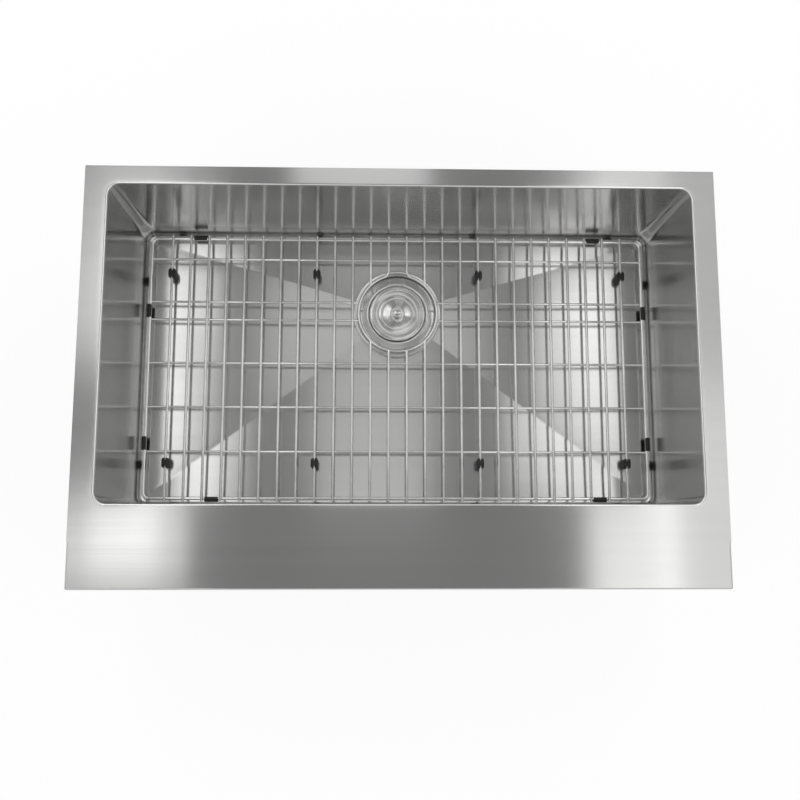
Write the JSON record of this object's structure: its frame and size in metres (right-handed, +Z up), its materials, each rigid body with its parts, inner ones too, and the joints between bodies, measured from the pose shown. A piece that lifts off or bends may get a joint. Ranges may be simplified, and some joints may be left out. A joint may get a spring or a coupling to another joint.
{
  "type": "farmhouse apron front sink",
  "caption": "Single-bowl stainless kitchen sink with a flat deck, a folded front apron, a basket strainer drain and a lift-out wire bottom grid on rubber feet.",
  "frame": {"origin": "middle of the deck's plan, in the plane of its top face", "axes": "+X to the right along the deck's length, -Y towards the apron, +Z up"},
  "size_m": [0.838, 0.55, 0.3195],
  "materials": {
    "sink_steel": "satin brushed stainless, grain running left to right",
    "wire_steel": "electropolished stainless wire",
    "polished_steel": "polished stainless",
    "sound_pad": "matte bitumen-rubber damping pad",
    "putty": "sealing putty",
    "gasket_rubber": "smooth black rubber",
    "fibre": "pressed fibre washer",
    "nut_metal": "plated cast nut, satin",
    "grid_rubber": "matte black rubber"
  },
  "bodies": {
    "sink": {"deck_and_apron": "sink_steel", "bowl": "sink_steel", "sound_pad_back_wall": "sound_pad", "sound_pad_left_wall": "sound_pad", "sound_pad_right_wall": "sound_pad", "sound_pad_floor_left": "sound_pad", "sound_pad_floor_right": "sound_pad", "sound_pad_floor_front": "sound_pad", "strainer_body": "polished_steel", "flange_seal": "putty", "under_sink_gasket": "gasket_rubber", "friction_washer": "fibre", "strainer_locknut": "nut_metal"},
    "grid": {"grid_frame": "wire_steel", "grid_keyhole": "wire_steel", "grid_wires_left": "wire_steel", "grid_wires_right": "wire_steel", "grid_cross_wire_1": "wire_steel", "grid_cross_wire_2": "wire_steel", "grid_cross_wire_3": "wire_steel", "grid_cross_wire_4": "wire_steel", "grid_wire_front_left_1": "wire_steel", "grid_wire_front_right_1": "wire_steel", "grid_wire_front_left_2": "wire_steel", "grid_wire_front_right_2": "wire_steel", "grid_wire_back_left_2": "wire_steel", "grid_wire_back_right_2": "wire_steel", "grid_foot_back_left_outer": "grid_rubber", "grid_foot_back_left_inner": "grid_rubber", "grid_foot_back_right_inner": "grid_rubber", "grid_foot_back_right_outer": "grid_rubber", "grid_foot_front_left_outer": "grid_rubber", "grid_foot_front_left_inner": "grid_rubber", "grid_foot_front_right_inner": "grid_rubber", "grid_foot_front_right_outer": "grid_rubber", "grid_bumper_left_back": "grid_rubber", "grid_bumper_left_front": "grid_rubber", "grid_bumper_right_back": "grid_rubber", "grid_bumper_right_front": "grid_rubber", "grid_bumper_back_left": "grid_rubber", "grid_bumper_back_right": "grid_rubber", "grid_bumper_front_left": "grid_rubber", "grid_bumper_front_right": "grid_rubber"},
    "basket": {"basket_lid": "polished_steel", "basket_cup": "polished_steel"},
    "stopper": {"basket_knob": "polished_steel", "basket_stopper": "gasket_rubber"}
  },
  "joints": [
    {"name": "grid_lift", "type": "slide", "parent": "sink", "child": "grid", "axis": [0, 0, 1], "range_m": [0, 0.3]},
    {"name": "basket_lift", "type": "slide", "parent": "sink", "child": "basket", "axis": [0, 0, 1], "range_m": [0, 0.3]},
    {"name": "stopper_pull", "type": "slide", "parent": "basket", "child": "stopper", "axis": [0, 0, 1], "range_m": [0, 0.008]}
  ]
}
